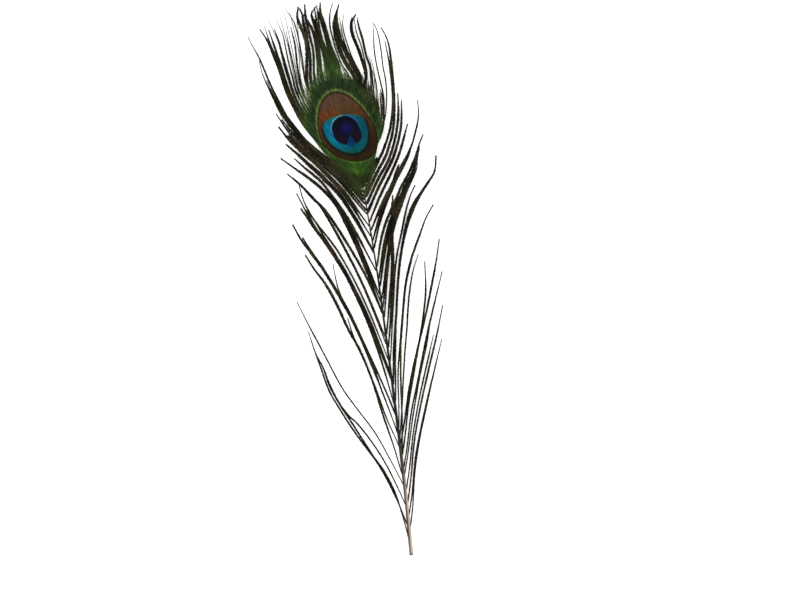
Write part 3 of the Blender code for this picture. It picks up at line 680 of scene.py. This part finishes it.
def make_shaft(material):
    """The shaft: a rounded back, a grooved underside, and the cut end with its pith sunk a little.

    Its tone is how far across it a point is, from 0 at its left to 1 at its right; the shaft's material
    paints shade on its left side from it.
    """
    stations, sides = 180, 28
    turns = 2 * math.pi * np.arange(sides) / sides
    across, rise = np.cos(turns), np.sin(turns)
    half = np.abs(across) ** 0.8 * np.sign(across)
    groove = 0.12 * np.exp(-(half / 0.22) ** 2) * (rise < -0.5)
    up = np.where(rise >= 0, rise * SHAFT_HEIGHT_RATIO, np.maximum(rise, -SHAFT_HEIGHT_RATIO)) + groove
    y = np.linspace(0, SHAFT_END, stations)
    x, width = shaft_at(y), shaft_width(y)
    middle = shaft_middle(y) - SHAFT_DIP * smoothstep(SHAFT_DIP_FROM, SHAFT_DIP_TO, y)
    line = np.stack([x, y], 1)
    plan = line[:, None] + sideways(line)[:, None] * (half[None, :, None] * width[:, None, None] / 2)
    tall = middle[:, None] + up[None, :] * width[:, None] / 2
    tube = np.concatenate([plan, tall[:, :, None]], 2)

    centre = np.array([x[0], y[0], middle[0]])
    rings = [tube[0] * wide + centre * (1 - wide) + (0, sunk, 0) for wide, sunk in CUT_RINGS]
    body = np.concatenate([np.array(rings), tube])
    rows = len(body)
    k = np.arange(1, sides - 1)
    start = np.stack([np.zeros(sides - 2, int), k, k + 1], 1)
    end = (start + (rows - 1) * sides)[:, ::-1]
    corners = np.concatenate([grid_corners(rows, sides, True)[:, ::-1], start, end])
    bundle = Bundle()
    bundle.add(body.reshape(-1, 3), corners, np.tile(half / 2 + 0.5, rows), 0.0, 0.0, True)
    make_piece("shaft", "horn", bundle, material)


# -------- materials


def srgb(red, green, blue):
    """A colour from 0 to 255 as shown on a screen, as the linear values that a shader takes."""
    shown = np.array([red, green, blue]) / 255
    linear = np.where(shown <= 0.04045, shown / 12.92, ((shown + 0.055) / 1.055) ** 2.4)
    return (*linear.tolist(), 1.0)


class Field:
    """A number that a material works out at each point. Arithmetic on it adds Math nodes."""

    def __init__(self, tree, socket):
        self.tree, self.socket = tree, socket

    def math(self, operation, *others):
        node = self.tree.nodes.new("ShaderNodeMath")
        node.operation = operation
        for slot, value in zip(node.inputs, (self, *others)):
            if isinstance(value, Field):
                self.tree.links.new(value.socket, slot)
            else:
                slot.default_value = value
        return Field(self.tree, node.outputs[0])

    def __add__(self, other):
        return self.math("ADD", other)

    def __sub__(self, other):
        return self.math("SUBTRACT", other)

    def __mul__(self, other):
        return self.math("MULTIPLY", other)

    def __truediv__(self, other):
        return self.math("DIVIDE", other)

    def __pow__(self, other):
        return self.math("POWER", other)

    def __rsub__(self, other):
        return (self * -1.0) + other

    def size(self):
        return self.math("ABSOLUTE")

    def over(self, other):
        return self.math("MAXIMUM", other)

    def step(self, low, high):
        """0 below low and 1 above high, with a smooth change between them."""
        node = self.tree.nodes.new("ShaderNodeMapRange")
        node.interpolation_type = "SMOOTHSTEP"
        self.tree.links.new(self.socket, node.inputs["Value"])
        flip = low > high
        node.inputs["From Min"].default_value = high if flip else low
        node.inputs["From Max"].default_value = low if flip else high
        node.inputs["To Min"].default_value = 1.0 if flip else 0.0
        node.inputs["To Max"].default_value = 0.0 if flip else 1.0
        return Field(self.tree, node.outputs["Result"])


class Paint:
    """A material under construction: places in the feather's frame, noise, and layers of colour."""

    def __init__(self, name, roughness, specular):
        self.material = bpy.data.materials.new(name)
        self.material.use_nodes = True
        self.tree = self.material.node_tree
        self.shader = self.tree.nodes["Principled BSDF"]
        self.shader.inputs["Roughness"].default_value = roughness
        self.shader.inputs["Specular IOR Level"].default_value = specular
        spot = self.tree.nodes.new("ShaderNodeTexCoord")
        split = self.tree.nodes.new("ShaderNodeSeparateXYZ")
        self.tree.links.new(spot.outputs["Object"], split.inputs[0])
        self.x = Field(self.tree, split.outputs["X"]) * (1 / MM) - ORIGIN[0]
        self.y = Field(self.tree, split.outputs["Y"]) * (1 / MM) - ORIGIN[1]
        self.tone, self.along, self.edge = map(self.attribute, ("tone", "along", "edge"))

    def attribute(self, name):
        node = self.tree.nodes.new("ShaderNodeAttribute")
        node.attribute_name = name
        return Field(self.tree, node.outputs["Fac"])

    def noise(self, x, y, detail=2.0):
        """Smooth noise, mostly from 0.3 to 0.7, with features about one unit apart."""
        join = self.tree.nodes.new("ShaderNodeCombineXYZ")
        for slot, value in zip(join.inputs, (x, y)):
            self.tree.links.new(value.socket, slot)
        node = self.tree.nodes.new("ShaderNodeTexNoise")
        node.inputs["Scale"].default_value = 1.0
        node.inputs["Detail"].default_value = detail
        self.tree.links.new(join.outputs[0], node.inputs["Vector"])
        return Field(self.tree, node.outputs["Fac"])

    def mix(self, share, first, second):
        """The first colour where share is 0 and the second where it is 1."""
        node = self.tree.nodes.new("ShaderNodeMix")
        node.data_type = "RGBA"
        self.tree.links.new(share.socket, node.inputs["Factor"])
        slots = [s for s in node.inputs if s.type == "RGBA"]
        for slot, value in zip(slots, (first, second)):
            if isinstance(value, tuple):
                slot.default_value = value
            else:
                self.tree.links.new(value, slot)
        return next(s for s in node.outputs if s.type == "RGBA")

    def scaled(self, colour, factor):
        """A colour made lighter or darker by a number."""
        node = self.tree.nodes.new("ShaderNodeVectorMath")
        node.operation = "SCALE"
        self.tree.links.new(colour, node.inputs[0])
        self.tree.links.new(factor.socket, node.inputs["Scale"])
        return node.outputs[0]

    def finish(self, colour):
        self.tree.links.new(colour, self.shader.inputs["Base Color"])
        return self.material


def blob(paint, x, y, radius):
    """1 at a place, fading to 0 at this distance from it."""
    dx, dy = paint.x - x, paint.y - y
    away = (dx * dx + dy * dy) ** 0.5
    return (away / radius).step(1, 0)


def spotted(paint, colour, spots):
    """The colour with these spots on it: each one's place, radius, strength and colour."""
    for x, y, radius, strength, shown in spots:
        colour = paint.mix(blob(paint, x, y, radius) * strength, colour, srgb(*shown))
    return colour


def oval(across, along, half_width, above, below, power_above, power_below):
    """1 on the outline of an egg shape whose upper and lower halves differ, and less inside."""
    upper = (along.over(0) / above) ** power_above
    lower = ((along * -1).over(0) / below) ** power_below
    return ((across / half_width) ** 2 + upper + lower) ** 0.5


def eye_layers(paint, ground):
    """The eye's rings over the ground colour, from the outside in, and how far out of its egg a point is."""
    x, y = paint.x, paint.y
    ragged = (paint.noise(paint.tone * 60, paint.along * 0.5) - 0.5) * 0.05

    # The eye is an egg that leans to the left on its way up and bends to the right towards its foot.
    tilt = math.radians(10.7)
    dx, dy = x - 0.75, y - 232.85
    across = dx * math.cos(tilt) + dy * math.sin(tilt)
    upward = dy * math.cos(tilt) - dx * math.sin(tilt)
    bend = ((20 - upward) / 37) ** 3 * 4.1 - 1.2
    egg = oval((across - bend).size(), upward + 3, 14.7, 23.2, 17.4, 1.7, 2) + ragged

    # The green round it, with a dark band and a pale rim.
    top = upward.step(-6, 12)
    far = egg - upward.step(14, 36) * 0.1 + across.step(3, 14) * 0.1 + (fan(paint) - 0.5) * 0.9
    green = paint.mix(fan(paint).step(0.44, 0.62), srgb(44, 68, 24), srgb(76, 100, 46))
    far = far + blob(paint, -17, 265, 9) * 0.7 + blob(paint, 15, 257, 8) * 0.4
    green = paint.mix(far.step(1.75, 1.3), ground, green)
    green = paint.mix(y.step(209, 201) * 0.75, green, srgb(58, 66, 32))
    green = spotted(paint, green, (
        (4, 210.5, 7, 1, (76, 122, 34)),
        (-18, 251, 6, 0.6, (108, 118, 76)),
        (17, 248, 7, 0.6, (72, 80, 50)),
    ))
    band = egg.step(1.03, 1.1) * egg.step(1.4, 1.18)
    colour = paint.mix(band * (top * 0.4 + 0.45), green, srgb(34, 50, 29))
    rim = egg.step(0.985, 1.01) * egg.step(1.08, 1.02)
    colour = paint.mix(rim * (top * 0.65 + 0.1), colour, srgb(104, 124, 64))

    # The brown, darker towards its foot and with warmer spots.
    brown = paint.mix(upward.step(-14, 2), srgb(52, 34, 16), srgb(80, 52, 26))
    brown = paint.mix(upward.step(4, 16), brown, srgb(88, 62, 50))
    brown = spotted(paint, brown, (
        (0, 244, 7.5, 0.7, (90, 68, 38)),
        (-10, 240.2, 4.2, 0.7, (130, 58, 12)),
        (9.8, 239.2, 4.2, 0.15, (130, 58, 12)),
        (-4.5, 241, 4.2, 0.45, (130, 58, 12)),
    ))
    brown = paint.mix(egg.step(0.93, 0.985), brown, srgb(38, 34, 6))
    colour = paint.mix(egg.step(1.01, 0.985), colour, brown)

    # The blue disc, with a dark ring round its lower part and a green brow.
    low_disc = ((240 - y) / 21).over(0) ** 2 * 3.4 - 0.2
    disc = oval((x - low_disc).size(), y - 232, 11.4, 7.3, 13.7, 3.4, 2) + ragged * 0.7
    ring = disc.step(1.2, 1.08) * y.step(239, 232)
    colour = paint.mix(ring * 0.9, colour, srgb(12, 28, 20))
    cyan = paint.mix(x.step(-9, 9), srgb(0, 112, 146), srgb(4, 84, 100))
    cyan = spotted(paint, cyan, (
        (-9, 226.5, 5, 0.6, (20, 122, 124)),
        (-7.2, 230.5, 3.6, 0.6, (16, 92, 166)),
    ))
    cyan = paint.mix(y.step(227, 218), cyan, srgb(4, 96, 96))
    cyan = paint.mix(blob(paint, 2.4, 225, 5), cyan, srgb(8, 50, 108))
    cyan = paint.mix(disc.step(0.88, 1) * 0.4, cyan, srgb(14, 66, 64))
    colour = paint.mix(disc.step(1.03, 0.98), colour, cyan)
    brow = disc.step(1.12, 1.02) * disc.step(0.88, 0.98) * y.step(236.5, 239)
    colour = paint.mix(brow * 0.65, colour, srgb(46, 106, 66))

    # The dark heart with its notch below, and the glow round its upper part.
    low_heart = ((238.8 - y) / 15.5).over(0) ** 2 * 2.4
    heart = oval((x - low_heart).size(), y - 230.5, 7.4, 8.3, 7.6, 2.3, 3) + ragged * 0.7
    depth = (229.2 - y).over(0)
    notch = (x - 2.3).size() - (depth * 0.12 + depth * depth * 0.05)
    outside = heart.step(0.96, 1.05).over(notch.step(0.6, -0.5) * depth.step(0.2, 2.6))
    dark = paint.mix(y.step(238.5, 232), srgb(6, 8, 12), srgb(12, 12, 30))
    dark = spotted(paint, dark, (
        (-3, 227, 4.4, 0.9, (24, 15, 22)),
        (5.8, 227.5, 4.4, 0.9, (24, 15, 22)),
        (1, 232.2, 5, 1, (20, 18, 88)),
    ))
    dark = paint.mix(heart.step(0.8, 1) * 0.5, dark, srgb(6, 14, 60))
    edge = heart.step(0.98, 1.03) * heart.step(1.14, 1.05)
    glow = paint.mix(x.step(-4, 2), srgb(120, 178, 160), srgb(40, 110, 160))
    colour = paint.mix(edge * y.step(229, 237) * 0.7, colour, glow)
    return paint.mix(outside, dark, colour), egg


def streaked(paint, colour, strength):
    """Lets each barb be a little lighter or darker than the next, and change along its length."""
    streak = paint.noise(paint.tone * 90, paint.along * 0.22, detail=3)
    return paint.scaled(colour, (streak - 0.5) * (2.2 * strength) + (paint.tone - 0.5) * strength + 1)


def fan(paint):
    """Fine streaks that spread from the eye's foot, as its barbs do: mostly 0.3 to 0.7."""
    dx, dy = paint.x - 3, paint.y - 203
    away = (dx * dx + dy * dy) ** 0.5
    return paint.noise(dx.math("ARCTAN2", dy) * 46, away * 0.16, detail=3)


def dark_ground(paint):
    """Nearly black barbs that turn olive, bronze or, in the crown, green in places."""
    patch = paint.noise(paint.tone * 30 + paint.x * 0.05, paint.along * 0.09)
    ground = paint.mix(patch.step(0.42, 0.68), srgb(22, 20, 13), srgb(54, 52, 30))
    bronze = paint.noise(paint.tone * 47 + 9, paint.along * 0.12)
    ground = paint.mix(bronze.step(0.5, 0.72) * 0.8, ground, srgb(68, 52, 37))
    near = blob(paint, -13, 214, 23)
    ground = paint.mix(paint.edge.step(0.3, 1) * near.step(0.02, 0.5) * 0.45, ground, srgb(92, 84, 58))
    return spotted(paint, ground, (
        (-4.5, 210.5, 9, 0.7, (48, 58, 28)),
        (3.5, 200, 11, 0.9, (56, 68, 30)),
        (10, 208, 6, 0.9, (52, 78, 36)),
        (-5, 273, 15, 0.75, (42, 58, 28)),
    ))


def eye_material():
    paint = Paint("eye_barbs_iridescent", 0.5, 0.06)
    colour, egg = eye_layers(paint, dark_ground(paint))
    outer = egg.step(1, 1.12) * 0.9 + 0.3
    colour = paint.scaled(colour, ((fan(paint) - 0.5) * 1.8 + (paint.edge - 0.5) * 0.4) * outer + 1)
    return paint.finish(streaked(paint, colour, 0.6))


def crown_material():
    paint = Paint("crown_barbs_green_black", 0.55, 0.05)
    colour = eye_layers(paint, dark_ground(paint))[0]
    return paint.finish(streaked(paint, colour, 0.5))


def loose_material():
    paint = Paint("loose_barbs_dark", 0.55, 0.05)
    return paint.finish(streaked(paint, dark_ground(paint), 0.5))


def shaft_material():
    """Horn: cream on the right and dark on the left near the cut, the dark left being painted shade on the
    rounded shaft; all brown and then black further up.
    """
    paint = Paint("shaft_horn_graded", 0.4, 0.2)
    x, y = paint.x, paint.y
    grain = paint.noise(x * 7, y * 0.12, detail=3)
    shade = y + (grain - 0.5) * 20
    light = paint.mix(grain.step(0.35, 0.7), srgb(214, 200, 182), srgb(192, 172, 152))
    light = paint.mix(shade.step(28, 50), light, srgb(96, 84, 74))
    # Painted shade: the left side's colours, here and further up, are darker than the right's to stand for
    # shade on that side of the rounded shaft.
    dark = paint.mix(y.step(3, 9), srgb(122, 110, 98), srgb(80, 64, 50))
    dark = paint.mix(shade.step(26, 42), dark, srgb(44, 33, 26))
    # The tone runs from the shaft's left to its right, so this mix paints shade on the left and leaves the
    # right cream.
    colour = paint.mix((paint.tone + (grain - 0.5) * 0.3).step(0.3, 0.72), dark, light)
    colour = paint.mix(shade.step(46, 72), colour, srgb(30, 25, 20))
    colour = paint.mix(y.step(1.6, 0.2) * 0.6, colour, srgb(86, 78, 70))
    eye = eye_layers(paint, srgb(27, 24, 14))[0]
    return paint.finish(paint.mix(y.step(194, 202), colour, eye))


# -------- stage, lights and camera

# The photo's view: the place at its middle, how wide it is there, and how far it is turned in degrees.
VIEW_CENTRE = (15.2, 136.5)
VIEW_WIDTH = 430.4
LEAN = 8.83
CAMERA_HEIGHT = 1600
SENSOR = 36


def make_stage():
    """A pale floor, an even sky and one soft lamp; their sizes and places are metres."""
    bpy.ops.mesh.primitive_plane_add(size=6.0, location=(0, 0, -0.0001))
    floor = bpy.context.object
    floor.name = "floor"
    paper = bpy.data.materials.new("white_paper")
    paper.use_nodes = True
    shader = paper.node_tree.nodes["Principled BSDF"]
    shader.inputs["Base Color"].default_value = (0.92, 0.92, 0.92, 1)
    shader.inputs["Roughness"].default_value = 0.9
    shader.inputs["Specular IOR Level"].default_value = 0.1
    shader.inputs["Emission Color"].default_value = (1, 1, 1, 1)
    shader.inputs["Emission Strength"].default_value = 0.6
    floor.data.materials.append(paper)

    world = bpy.data.worlds.new("soft_studio")
    world.use_nodes = True
    world.node_tree.nodes["Background"].inputs["Color"].default_value = (1.0, 1.0, 1.0, 1)
    world.node_tree.nodes["Background"].inputs["Strength"].default_value = 0.76
    bpy.context.scene.world = world

    lamp = bpy.data.lights.new("key", "AREA")
    lamp.shape = "DISK"
    lamp.size = 1.2
    lamp.energy = 15.0
    key = bpy.data.objects.new("key", lamp)
    key.location = (-0.9, 0.9, 1.5)
    key.rotation_euler = (math.radians(-40), math.radians(-34), 0)
    bpy.context.scene.collection.objects.link(key)


def make_camera():
    data = bpy.data.cameras.new("camera")
    data.sensor_width = SENSOR
    data.lens = SENSOR * CAMERA_HEIGHT / VIEW_WIDTH
    data.clip_end = 20
    camera = bpy.data.objects.new("camera", data)
    camera.location = (
        (VIEW_CENTRE[0] + ORIGIN[0]) * MM, (VIEW_CENTRE[1] + ORIGIN[1]) * MM, CAMERA_HEIGHT * MM,
    )
    camera.rotation_euler = (0, 0, -math.radians(LEAN))
    bpy.context.scene.collection.objects.link(camera)
    bpy.context.scene.camera = camera


def main():
    rng = np.random.default_rng(SEED)
    loose = loose_material()
    side_barbs(-1, LEFT_LOCKS, loose, rng)
    side_barbs(1, RIGHT_LOCKS, loose, rng)
    make_vane(eye_material(), rng)
    make_crown(crown_material(), rng)
    make_shaft(shaft_material())
    make_stage()
    make_camera()
    bpy.context.scene.view_settings.view_transform = "Standard"


main()
